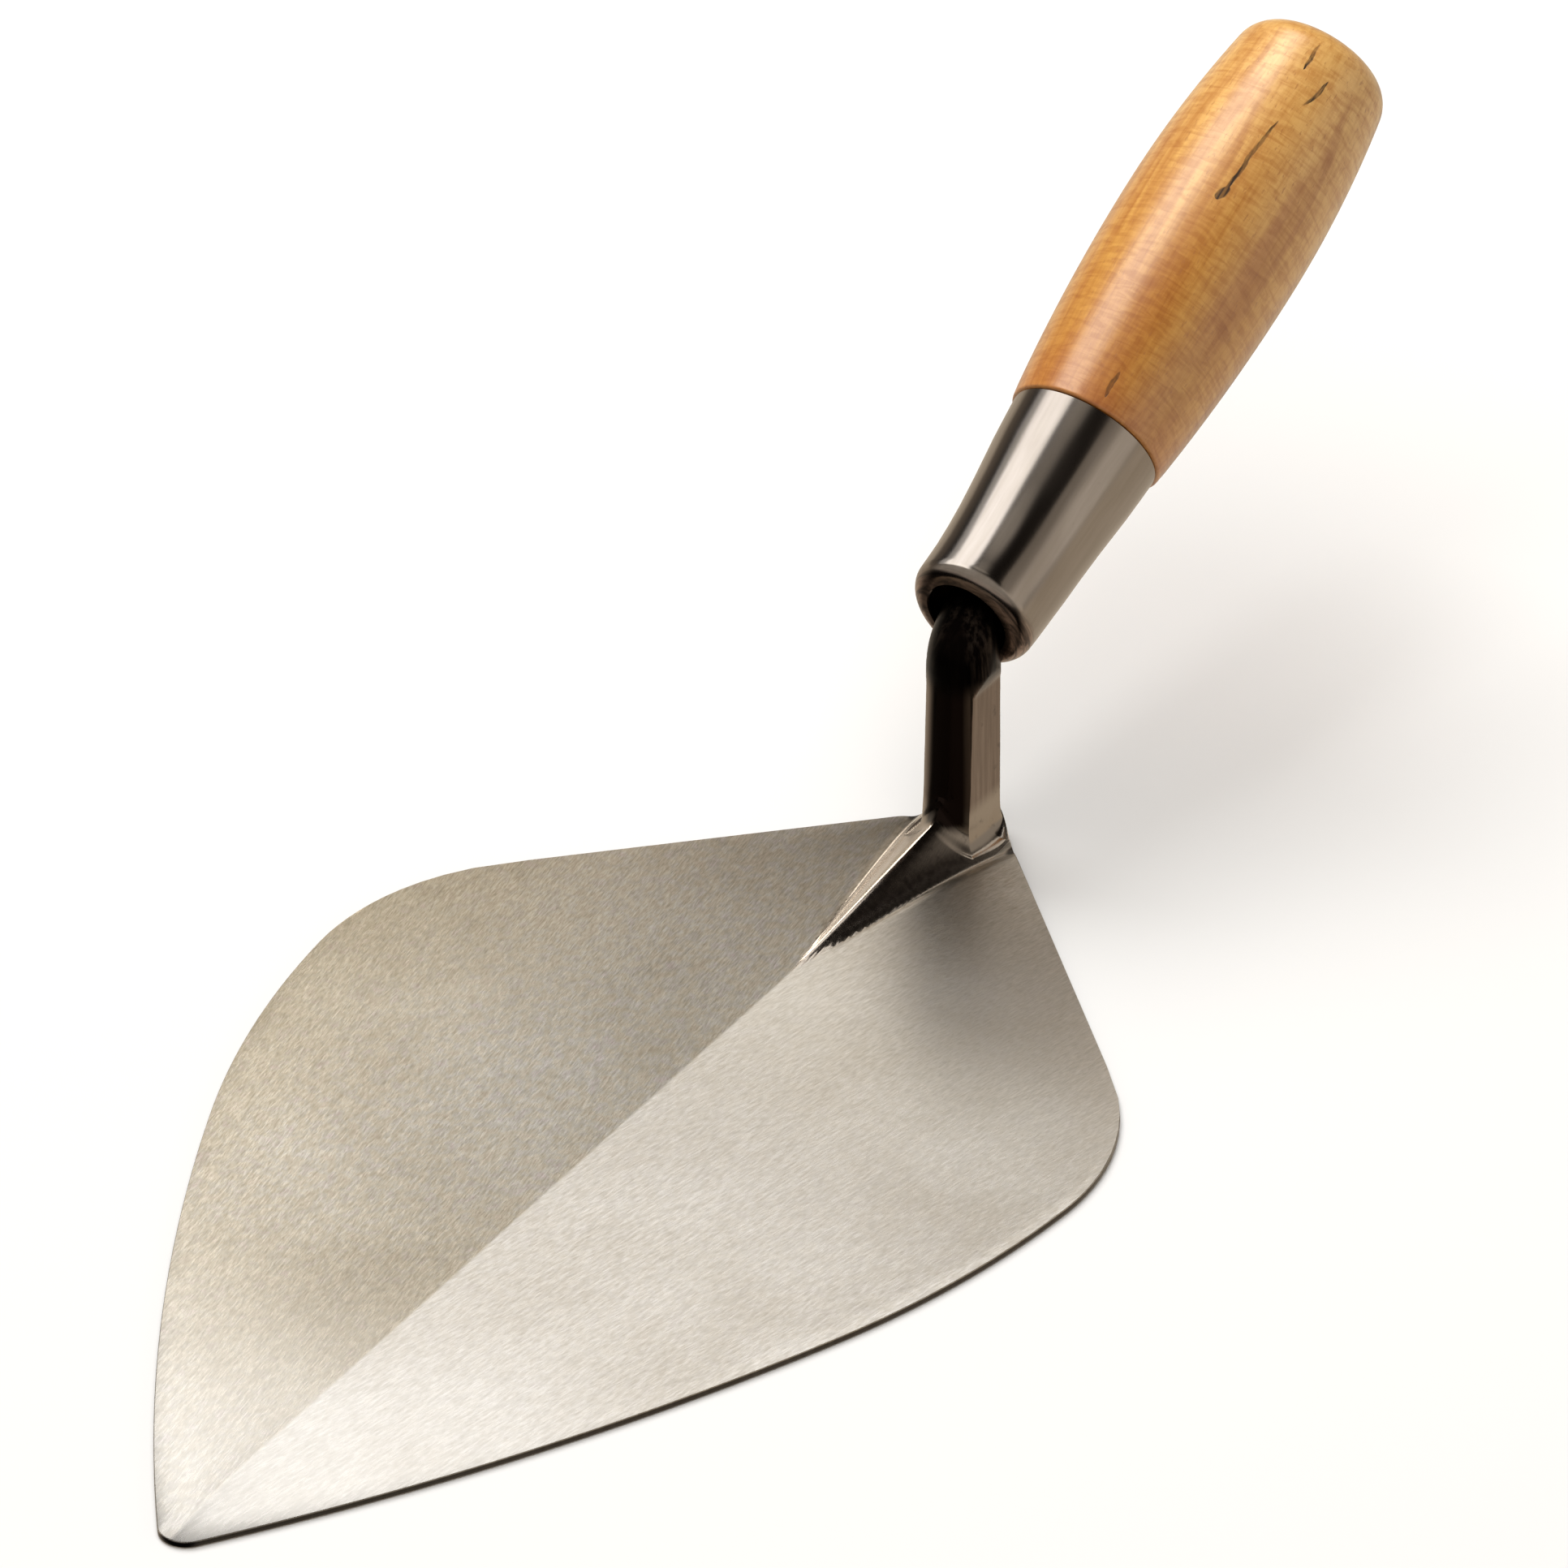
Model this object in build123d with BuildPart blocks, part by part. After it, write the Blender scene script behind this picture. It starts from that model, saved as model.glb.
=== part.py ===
from build123d import *
import math
import os

# Brick trowel: a one-piece forged blade with its shank and tang, a spun steel ferrule and a
# turned wooden grip. Millimetres. The origin is on the flat underside of the blade, below the
# foot of the shank. +X runs along the blade to its tip, +Y to its left and +Z up.

# Blade outline: straight heel edges, then arcs that grow flatter towards the toe
BLADE_LENGTH = 266.7  # 10-1/2 in, from the origin to the tip
HEEL_HALF_WIDTH = 9.6  # where the heel edges pass the origin
HEEL_ANGLE = 45.7
HEEL_EDGE = 77.0
HEEL_BACK_RADIUS = 9.0
SHOULDER_RADIUS = 50.0
SHOULDER_END_HEADING = -4.3
SIDE_RADIUS = 194.0
SIDE_END_HEADING = -21.6
TOE_RADIUS = 533.0

# Two flat ground faces meet in a straight crease on top, thick at the heel and thin at the toe
CREASE_HEEL = 2.8
CREASE_TIP = 1.5
EDGE_AT_WIDEST = 1.1
WIDEST_STATION = 90.0
WIDEST_HALF_WIDTH = 79.7

# Ridge from the shank down into the crease: station, half-width and height of its crest
RIDGE_SECTIONS = ((3.0, 9.0, 10.5), (12.0, 7.6, 7.3), (31.0, 4.2, 4.5), (51.0, 0.8, 2.75))
RIDGE_FLOOR = 0.6

# Shank: a tapered round bar that flares at its foot, with a flat ground on each side
SHANK_FOOT_RADIUS = 7.3
SHANK_TOP_RADIUS = 6.7
SHANK_FOOT_X = 1.9
SHANK_TOP_X = 1.1
SHANK_TOP_Z = 41.5
SHANK_ROOT = 0.5  # height inside the blade where the bar starts
FLARE_RADIUS = 8.9
FLARE_BOTTOM_Z = 2.4
FLARE_TOP_Z = 7.0
FLAT_HALF_WIDTH = 5.0
FLAT_BOTTOM_Z = 4.0
FLAT_TOP_Z = 39.0
FLAT_RUNOUT = 4.5

# Grip axis: it starts where the ferrule meets the wood and climbs backwards
GRIP_X = -40.0
GRIP_Z = 63.6
GRIP_ANGLE = 24.7

# Tang: a round neck from the shank to a bend inside the ferrule, then a square taper in the wood
TANG_NECK_RADIUS = 6.5
TANG_BEND_RADIUS = 4.9
TANG_BEND_AHEAD = 24.0
TANG_SQUARE = 6.8
TANG_END_SQUARE = 3.6
TANG_DEPTH = 70.0
TANG_CLEARANCE = 0.15

# Ferrule: distance ahead of the wood and outer radius, on an axis that dips at its front
FERRULE_SECTIONS = (
    (0.0, 14.7),
    (9.0, 14.15),
    (18.0, 13.3),
    (26.0, 12.75),
    (32.0, 12.45),
    (38.0, 12.3),
    (43.6, 12.3),
)
FERRULE_WALL = 1.1
FERRULE_STRAIGHT = 24.0
FERRULE_DIP = 11.0
FERRULE_HOLE_RADIUS = 8.05
LIP_ROUND = 3.4

# Wooden grip: a barrel of two arcs that meet at its fullest point, with a neck in the ferrule
NECK_LENGTH = 18.0
NECK_RADIUS = 13.45
NECK_END_RADIUS = 12.0
SHOULDER_GAP = 0.05
GRIP_FRONT_RADIUS = 15.1
GRIP_FULL_RADIUS = 18.0
GRIP_FULL_AT = 47.0
GRIP_REAR_RADIUS = 15.0
GRIP_REAR_AT = 84.0
BUTT_RADIUS = 8.6
BUTT_AT = 89.6
BUTT_DOME = 0.7


def heading(angle):
    """Unit vector in the XY plane at an angle from +X."""
    return Vector(math.cos(math.radians(angle)), math.sin(math.radians(angle)))


def grip_point(ahead):
    """Point on the straight grip axis, counted forwards from the wood's shoulder."""
    turn = math.radians(GRIP_ANGLE)
    return Vector(GRIP_X + ahead * math.cos(turn), 0, GRIP_Z - ahead * math.sin(turn))


def axis_plane(centre, angle):
    """Plane across an axis that climbs backwards at an angle, with its normal facing back."""
    turn = math.radians(angle)
    return Plane(origin=centre, x_dir=(0, 1, 0), z_dir=(-math.cos(turn), 0, math.sin(turn)))


def grip_plane(ahead):
    """Section plane of the grip."""
    return axis_plane(grip_point(ahead), GRIP_ANGLE)


def ferrule_plane(ahead):
    """Section plane of the ferrule, whose axis dips along an arc past its straight stretch."""
    if ahead <= FERRULE_STRAIGHT:
        return grip_plane(ahead)
    bent = ahead - FERRULE_STRAIGHT
    turned = FERRULE_DIP * bent / (FERRULE_SECTIONS[-1][0] - FERRULE_STRAIGHT)
    chord = heading(GRIP_ANGLE + turned / 2) * bent
    return axis_plane(grip_point(FERRULE_STRAIGHT) + Vector(chord.X, 0, -chord.Y), GRIP_ANGLE + turned)


# Centre of the heel's back arc, which is tangent to both heel edges
heel_slope = math.radians(HEEL_ANGLE)
heel_centre_x = (HEEL_BACK_RADIUS / math.cos(heel_slope) - HEEL_HALF_WIDTH) / math.tan(heel_slope)
heel_back = (heel_centre_x - HEEL_BACK_RADIUS, 0)
heel_start = Vector(heel_centre_x, 0) + heading(HEEL_ANGLE + 90) * HEEL_BACK_RADIUS
heel_run = HEEL_EDGE - heel_start.X / math.cos(heel_slope)

# Fall of each ground face along the crease and away from it
crease_fall = (CREASE_HEEL - CREASE_TIP) / BLADE_LENGTH
side_fall = (CREASE_HEEL - crease_fall * WIDEST_STATION - EDGE_AT_WIDEST) / WIDEST_HALF_WIDTH
ground_face = Plane(origin=(0, 0, CREASE_HEEL), z_dir=(crease_fall, side_fall, 1))

# Shank and tang axes
shank_foot = Vector(SHANK_FOOT_X, 0, 0)
shank_top = Vector(SHANK_TOP_X, 0, SHANK_TOP_Z)
shank_axis = shank_top - shank_foot
tang_bend = grip_point(TANG_BEND_AHEAD)
tang_axis = tang_bend - shank_top

# 1. Blade, ridge, shank and tang, forged from one bar
with BuildPart() as blade_forging:
    # left half of the blade, ground to its slope, and its mirror image
    with BuildSketch(Plane.XY):
        with BuildLine():
            RadiusArc(heel_back, heel_start, HEEL_BACK_RADIUS)
            heel = Line(heel_start, heel_start + heading(HEEL_ANGLE) * heel_run)
            shoulder = JernArc(heel @ 1, heel % 1, SHOULDER_RADIUS, SHOULDER_END_HEADING - HEEL_ANGLE)
            side_turn = SIDE_END_HEADING - SHOULDER_END_HEADING
            side = JernArc(shoulder @ 1, shoulder % 1, SIDE_RADIUS, side_turn)
            # the tip arc is tangent to the toe arc and square to the centreline
            toe_centre = side @ 1 + heading(SIDE_END_HEADING - 90) * TOE_RADIUS
            reach = toe_centre.X - BLADE_LENGTH
            tip_radius = (TOE_RADIUS**2 - reach**2 - toe_centre.Y**2) / (2 * (reach + TOE_RADIUS))
            tip_centre = Vector(BLADE_LENGTH - tip_radius, 0)
            toe_end = toe_centre + (tip_centre - toe_centre).normalized() * TOE_RADIUS
            RadiusArc(side @ 1, toe_end, TOE_RADIUS)
            RadiusArc(toe_end, (BLADE_LENGTH, 0), tip_radius)
            Line((BLADE_LENGTH, 0), heel_back)
        make_face()
    extrude(amount=CREASE_HEEL + 1)
    split(bisect_by=ground_face, keep=Keep.BOTTOM)
    mirror(about=Plane.XZ)

    # shank, with the ball that turns its top towards the ferrule
    with BuildSketch(Plane(origin=shank_foot + shank_axis * (SHANK_ROOT / SHANK_TOP_Z), z_dir=shank_axis)):
        Circle(SHANK_FOOT_RADIUS)
    with BuildSketch(Plane(origin=shank_top, z_dir=shank_axis)):
        Circle(SHANK_TOP_RADIUS)
    loft()
    with Locations(shank_top):
        Sphere(SHANK_TOP_RADIUS)

    # flare where the shank's foot grows into the blade
    with BuildSketch(Plane.XY.offset(FLARE_BOTTOM_Z)):
        with Locations(shank_foot):
            Circle(FLARE_RADIUS)
    with BuildSketch(Plane.XY.offset(FLARE_TOP_Z)):
        with Locations(shank_foot):
            Circle(SHANK_FOOT_RADIUS - 0.1)
    loft()

    # flats on both sides, which run out into the round bar at both ends
    with BuildSketch(Plane.YZ):
        with BuildLine():
            Polyline(
                (2 * SHANK_FOOT_RADIUS, FLAT_BOTTOM_Z),
                (FLARE_RADIUS, FLAT_BOTTOM_Z),
                (FLAT_HALF_WIDTH, FLAT_BOTTOM_Z + FLAT_RUNOUT),
                (FLAT_HALF_WIDTH, FLAT_TOP_Z - FLAT_RUNOUT),
                (FLARE_RADIUS, FLAT_TOP_Z),
                (2 * SHANK_FOOT_RADIUS, FLAT_TOP_Z),
                close=True,
            )
        make_face()
        mirror(about=Plane.YZ)
    extrude(amount=2 * SHANK_FOOT_RADIUS, both=True, mode=Mode.SUBTRACT)

    # ridge
    for station, half_width, crest in RIDGE_SECTIONS:
        with BuildSketch(Plane.YZ.offset(station)):
            with BuildLine():
                ThreePointArc((-half_width, RIDGE_FLOOR), (0, crest), (half_width, RIDGE_FLOOR))
                Line((half_width, RIDGE_FLOOR), (-half_width, RIDGE_FLOOR))
            make_face()
    loft()

    # tang neck, its bend and the square taper
    with BuildSketch(Plane(origin=shank_top, x_dir=(0, 1, 0), z_dir=tang_axis)):
        Circle(TANG_NECK_RADIUS)
    with BuildSketch(Plane(origin=tang_bend, x_dir=(0, 1, 0), z_dir=tang_axis)):
        Circle(TANG_BEND_RADIUS)
    loft()
    with Locations(tang_bend):
        Sphere(TANG_BEND_RADIUS)
    with BuildSketch(grip_plane(TANG_BEND_AHEAD)):
        Rectangle(TANG_SQUARE, TANG_SQUARE)
    with BuildSketch(grip_plane(-TANG_DEPTH)):
        Rectangle(TANG_END_SQUARE, TANG_END_SQUARE)
    loft()

# 2. Ferrule: a spun steel cup with a rounded lip and a hole for the shank
with BuildPart() as ferrule_core:
    for ahead, radius in FERRULE_SECTIONS[:-1]:
        with BuildSketch(ferrule_plane(ahead)):
            Circle(radius - FERRULE_WALL)
    with BuildSketch(ferrule_plane(FERRULE_SECTIONS[-1][0] - FERRULE_WALL)):
        Circle(FERRULE_SECTIONS[-1][1] - FERRULE_WALL)
    loft()
    inner_front = ferrule_core.faces().filter_by(GeomType.PLANE).sort_by(Axis.X)[-1]
    fillet(inner_front.edges(), LIP_ROUND - FERRULE_WALL)

with BuildPart() as ferrule:
    for ahead, radius in FERRULE_SECTIONS:
        with BuildSketch(ferrule_plane(ahead)):
            Circle(radius)
    loft()
    outer_front = ferrule.faces().filter_by(GeomType.PLANE).sort_by(Axis.X)[-1]
    fillet(outer_front.edges(), LIP_ROUND)
    add(ferrule_core.part, mode=Mode.SUBTRACT)
    with BuildSketch(ferrule_plane(FERRULE_SECTIONS[-1][0])):
        Circle(FERRULE_HOLE_RADIUS)
    extrude(amount=LIP_ROUND, both=True, mode=Mode.SUBTRACT)

# 3. Wooden grip, turned in one piece with the neck that the ferrule holds
with BuildPart() as wood_handle:
    grip_profile = Plane(origin=grip_point(0), x_dir=grip_plane(0).z_dir, z_dir=(0, 1, 0))
    with BuildSketch(grip_profile):
        with BuildLine():
            Polyline(
                (-NECK_LENGTH, 0),
                (-NECK_LENGTH, NECK_END_RADIUS),
                (SHOULDER_GAP, NECK_RADIUS),
                (SHOULDER_GAP, GRIP_FRONT_RADIUS),
            )
            full = (GRIP_FULL_AT, GRIP_FULL_RADIUS)
            TangentArc(full, (SHOULDER_GAP, GRIP_FRONT_RADIUS), tangent=(-1, 0))
            rear = TangentArc(full, (GRIP_REAR_AT, GRIP_REAR_RADIUS), tangent=(1, 0))
            TangentArc(rear @ 1, (BUTT_AT, BUTT_RADIUS), tangent=rear % 1)
            TangentArc((BUTT_AT + BUTT_DOME, 0), (BUTT_AT, BUTT_RADIUS), tangent=(0, 1))
            Line((BUTT_AT + BUTT_DOME, 0), (-NECK_LENGTH, 0))
        make_face()
    revolve(axis=Axis(grip_point(0), grip_plane(0).z_dir))
    # pocket for the tang
    with BuildSketch(grip_plane(TANG_BEND_AHEAD)):
        Rectangle(TANG_SQUARE + 2 * TANG_CLEARANCE, TANG_SQUARE + 2 * TANG_CLEARANCE)
    with BuildSketch(grip_plane(-TANG_DEPTH - TANG_CLEARANCE)):
        Rectangle(TANG_END_SQUARE + 2 * TANG_CLEARANCE, TANG_END_SQUARE + 2 * TANG_CLEARANCE)
    loft(mode=Mode.SUBTRACT)

blade_forging.part.label = "blade_forging"
ferrule.part.label = "ferrule"
wood_handle.part.label = "wood_handle"

os.makedirs("parts", exist_ok=True)
export_step(blade_forging.part, "parts/blade_forging.step")
export_step(ferrule.part, "parts/ferrule.step")
export_step(wood_handle.part, "parts/wood_handle.step")
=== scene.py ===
import math

import bpy
from mathutils import Matrix, Vector


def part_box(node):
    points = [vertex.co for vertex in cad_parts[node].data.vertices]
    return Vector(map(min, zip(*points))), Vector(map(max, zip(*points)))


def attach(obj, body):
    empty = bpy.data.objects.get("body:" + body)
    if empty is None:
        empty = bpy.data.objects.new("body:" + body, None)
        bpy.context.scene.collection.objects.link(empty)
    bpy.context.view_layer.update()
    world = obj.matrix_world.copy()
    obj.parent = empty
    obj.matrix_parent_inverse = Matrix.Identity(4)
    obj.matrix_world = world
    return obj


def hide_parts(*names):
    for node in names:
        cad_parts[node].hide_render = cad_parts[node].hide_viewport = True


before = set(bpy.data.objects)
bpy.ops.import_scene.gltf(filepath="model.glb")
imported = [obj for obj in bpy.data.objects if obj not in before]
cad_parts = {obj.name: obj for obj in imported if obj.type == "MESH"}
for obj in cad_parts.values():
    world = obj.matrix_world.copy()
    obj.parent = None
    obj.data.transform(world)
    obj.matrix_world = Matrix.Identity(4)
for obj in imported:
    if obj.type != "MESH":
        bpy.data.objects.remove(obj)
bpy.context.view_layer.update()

MM = 0.001

# Blade outline, as the designer drew it: straight heel edges, then ever flatter arcs
BLADE_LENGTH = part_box("blade_forging")[1].x / MM
HEEL_HALF_WIDTH = 9.6
HEEL_ANGLE = math.radians(45.7)
HEEL_EDGE = 77.0
HEEL_BACK_RADIUS = 9.0
SHOULDER_RADIUS = 50.0
SHOULDER_END = math.radians(-4.3)
SIDE_RADIUS = 194.0
SIDE_END = math.radians(-21.6)
TOE_RADIUS = 533.0

# Ground top of the blade: heights of the crease and of the edge, how far back from the tip the crease
# fades, and how hollow each face is
CREASE_HEEL = 4.6
CREASE_TIP = 3.2
CREASE_FADE = 26.0
EDGE_THICKNESS = 1.25
HOLLOW = 1.8
EDGE_BREAK = 0.28

# Ridge from the shank's foot into the crease
RIDGE_TIP_X = 59.0
RIDGE_FULL_X = 4.0
RIDGE_HALF_WIDTH = 9.9
RIDGE_HEIGHT = 5.5
RIDGE_FALL = 1.2
RIDGE_FLANK = 1.6
CREST_ROUND = 0.3
RIDGE_GROOVE = 0.4
GROOVE_WIDTH = 0.13

# Shank, its flats and the bend into the ferrule
FOOT_X = 1.9
TOP_X = 1.1
TOP_Z = 43.2
FOOT_RADIUS = 7.3
TOP_RADIUS = 6.7
FLAT_HALF = 5.0
FLAT_END_Z = 34.5
FLAT_RUNOUT = 4.5
FOOT_FILLET = 3.4
FILLET_STEPS = 12
# Rows of faces from the fillet to the edge, wider and wider apart
FACE_ROWS = 80
FACE_SPREAD = 2.6
SHANK_LOW_Z = 13.0
SHANK_LEVELS = 44
BEND_FLAT_HALF = 6.6
BEND_RADIUS = 7.0
NECK_RADIUS = 6.3
NECK_START_RADIUS = 4.2
TANG_SQUARE = 6.8
TANG_END_SQUARE = 3.6
TANG_BEND_AHEAD = 24.0
TANG_DEPTH = 70.0

# Grip axis, from the ferrule's rear edge backwards and up
GRIP_START = Vector((-40.0, 0, 63.6))
GRIP_ANGLE = math.radians(24.7)

# Ferrule: distance ahead of the wood and outer radius; its axis dips at the front
FERRULE_STATIONS = (
    (0.0, 14.7),
    (4.5, 14.45),
    (9.0, 14.15),
    (18.0, 13.3),
    (24.0, 12.85),
    (29.0, 12.6),
    (34.0, 12.4),
    (38.0, 12.35),
)
FERRULE_LENGTH = 43.6
FERRULE_STRAIGHT = 24.0
FERRULE_DIP = math.radians(11.0)
FERRULE_FRONT_RADIUS = 12.3
FERRULE_HOLE_RADIUS = 8.05
FERRULE_WALL = 1.1
LIP_ROUND = 3.4

# Wooden grip
GRIP_FRONT_RADIUS = 15.25
GRIP_FULL_RADIUS = 18.0
GRIP_FULL_AT = 47.0
GRIP_REAR_RADIUS = 15.0
GRIP_REAR_AT = 84.0
BUTT_AT = 89.6
BUTT_RADIUS = 8.6
BUTT_DOME = 0.7
NECK_LENGTH = 18.0
NECK_FRONT_RADIUS = 12.0
NECK_REAR_RADIUS = 13.45


# ---------------------------------------------------------------- outline of the blade
def unit(angle):
    return Vector((math.cos(angle), math.sin(angle)))


def draw_outline():
    """The outline's left half from the heel's back to the tip, as (kind, start, end, centre, radius)."""
    behind = (HEEL_BACK_RADIUS / math.cos(HEEL_ANGLE) - HEEL_HALF_WIDTH) / math.tan(HEEL_ANGLE)
    heel_centre = Vector((behind, 0))
    back = heel_centre - Vector((HEEL_BACK_RADIUS, 0))
    heel_start = heel_centre + unit(HEEL_ANGLE + math.pi / 2) * HEEL_BACK_RADIUS
    heel_end = heel_start + unit(HEEL_ANGLE) * (HEEL_EDGE - heel_start.x / math.cos(HEEL_ANGLE))
    pieces = [
        ("arc", back, heel_start, heel_centre, HEEL_BACK_RADIUS),
        ("line", heel_start, heel_end, None, 0),
    ]
    start, heading = heel_end, HEEL_ANGLE
    for radius, end_heading in ((SHOULDER_RADIUS, SHOULDER_END), (SIDE_RADIUS, SIDE_END)):
        centre = start + unit(heading - math.pi / 2) * radius
        end = centre + unit(end_heading + math.pi / 2) * radius
        pieces.append(("arc", start, end, centre, radius))
        start, heading = end, end_heading
    toe_centre = start + unit(heading - math.pi / 2) * TOE_RADIUS
    reach = toe_centre.x - BLADE_LENGTH
    tip_radius = (TOE_RADIUS**2 - reach**2 - toe_centre.y**2) / (2 * (reach + TOE_RADIUS))
    tip_centre = Vector((BLADE_LENGTH - tip_radius, 0))
    toe_end = toe_centre + (tip_centre - toe_centre).normalized() * TOE_RADIUS
    pieces.append(("arc", start, toe_end, toe_centre, TOE_RADIUS))
    pieces.append(("arc", toe_end, Vector((BLADE_LENGTH, 0)), tip_centre, tip_radius))
    return pieces


OUTLINE = draw_outline()
FOOT = Vector((FOOT_X, 0))


def turn_of(point):
    """Angle of a point seen from the shank's foot, 0 towards the tip and pi towards the back."""
    return math.atan2(point.y, point.x - FOOT_X)


def edge_distance(angle):
    """How far the blade's edge is from the shank's foot in a direction, with angle from 0 to pi."""
    ray = unit(angle)
    for kind, start, end, centre, radius in OUTLINE:
        if turn_of(end) - 1e-9 <= angle <= turn_of(start) + 1e-9:
            if kind == "line":
                along = (end - start).normalized()
                gap = start - FOOT
                return (gap.x * along.y - gap.y * along.x) / (ray.x * along.y - ray.y * along.x)
            lean = ray.dot(centre - FOOT)
            return lean + math.sqrt(lean**2 - (centre - FOOT).length_squared + radius**2)
    raise ValueError(angle)


def half_width(x):
    """Half of the blade's width at a station along it."""
    for kind, start, end, centre, radius in OUTLINE:
        if start.x <= x <= end.x:
            if kind == "line":
                return start.y + (x - start.x) * math.tan(HEEL_ANGLE)
            return centre.y + math.sqrt(max(radius**2 - (x - centre.x) ** 2, 0))
    return 0.001


# ---------------------------------------------------------------- top surface of the forging
def ground_height(x, y):
    """Height of the two hollow-ground faces, which meet in the crease."""
    crease = CREASE_HEEL + (CREASE_TIP - CREASE_HEEL) * max(x, 0) / BLADE_LENGTH
    fade = min(max(BLADE_LENGTH - x, 0) / CREASE_FADE, 1)
    fade = fade * (2 - fade)
    share = min(abs(y) / max(half_width(x), 0.01), 1)
    return EDGE_THICKNESS + (crease - EDGE_THICKNESS) * fade * (1 - share) ** HOLLOW


def ridge_share(x, y):
    """0 on the ridge's crest, 1 on the line where it meets the ground faces."""
    width = RIDGE_HALF_WIDTH * (RIDGE_TIP_X - x) / (RIDGE_TIP_X - RIDGE_FULL_X)
    return abs(y) / width if width > 0.02 else 99.0


def ridge_height(x, y):
    """Rise of the ridge above the ground faces, with the shallow groove along its foot."""
    share = ridge_share(x, y)
    if share > 1.5:
        return 0.0
    crest = RIDGE_HEIGHT * max((RIDGE_TIP_X - x) / RIDGE_TIP_X, 0) ** RIDGE_FALL
    sharp = min(math.hypot(share, CREST_ROUND) - CREST_ROUND * (1 - share), 1)
    rise = crest * (1 - sharp) ** RIDGE_FLANK
    depth = RIDGE_GROOVE * min(crest, 1)
    return rise - depth * math.exp(-(((share - 1) / GROOVE_WIDTH) ** 2))


def top_height(x, y):
    return ground_height(x, y) + ridge_height(x, y)


# ---------------------------------------------------------------- helpers for meshes
def deselect_all():
    bpy.ops.object.select_all(action="DESELECT")


def settle(piece, name):
    """Puts a piece's place into its mesh and names it."""
    deselect_all()
    piece.select_set(True)
    bpy.context.view_layer.objects.active = piece
    bpy.ops.object.transform_apply(location=True, rotation=True, scale=True)
    piece.name = name
    piece.data.name = name
    return piece


def smooth(piece, degrees):
    deselect_all()
    piece.select_set(True)
    bpy.context.view_layer.objects.active = piece
    bpy.ops.object.shade_smooth_by_angle(angle=math.radians(degrees))


# ---------------------------------------------------------------- forging
FINISHES = ("polish", "border", "scale")
TOP_SIDE_Z = 1.5


def sweep_angles():
    """Directions around the shank, closest at the tip's small arc and at the flats' edges. Each span is
    from and to in degrees and its number of steps."""
    spans = ((0, 1.3, 12), (1.3, 30, 57), (30, 60, 32), (60, 130, 50), (130, 180, 32))
    half = [0.0]
    for first, last, steps in spans:
        half += [first + (last - first) * (k + 1) / steps for k in range(steps)]
    return [math.radians(a) for a in half + [360 - a for a in reversed(half[:-1])]]


def shank_radius(angle, bar, flat):
    side = abs(math.sin(angle))
    return min(bar, flat / side) if side > 1e-6 else bar


def path_ring(centre, lean, radius, square, angles, flat=99.0):
    """A ring across the shank or tang. Lean is the axis's climb: pi/2 upright, less towards the grip.
    Square is 0 for a round ring and 1 for a square one, and flat is half of the width across flats."""
    front = Vector((math.sin(lean), 0, math.cos(lean)))
    side = Vector((0, 1, 0))
    ring = []
    for angle in angles:
        c, s = math.cos(angle), math.sin(angle)
        round_reach = shank_radius(angle, radius, flat)
        square_reach = radius / max(abs(c), abs(s))
        reach = round_reach + (square_reach - round_reach) * square
        ring.append(centre + front * (c * reach) + side * (s * reach))
    return ring


def grip_point(ahead):
    return GRIP_START + Vector((math.cos(GRIP_ANGLE), 0, -math.sin(GRIP_ANGLE))) * ahead


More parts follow.
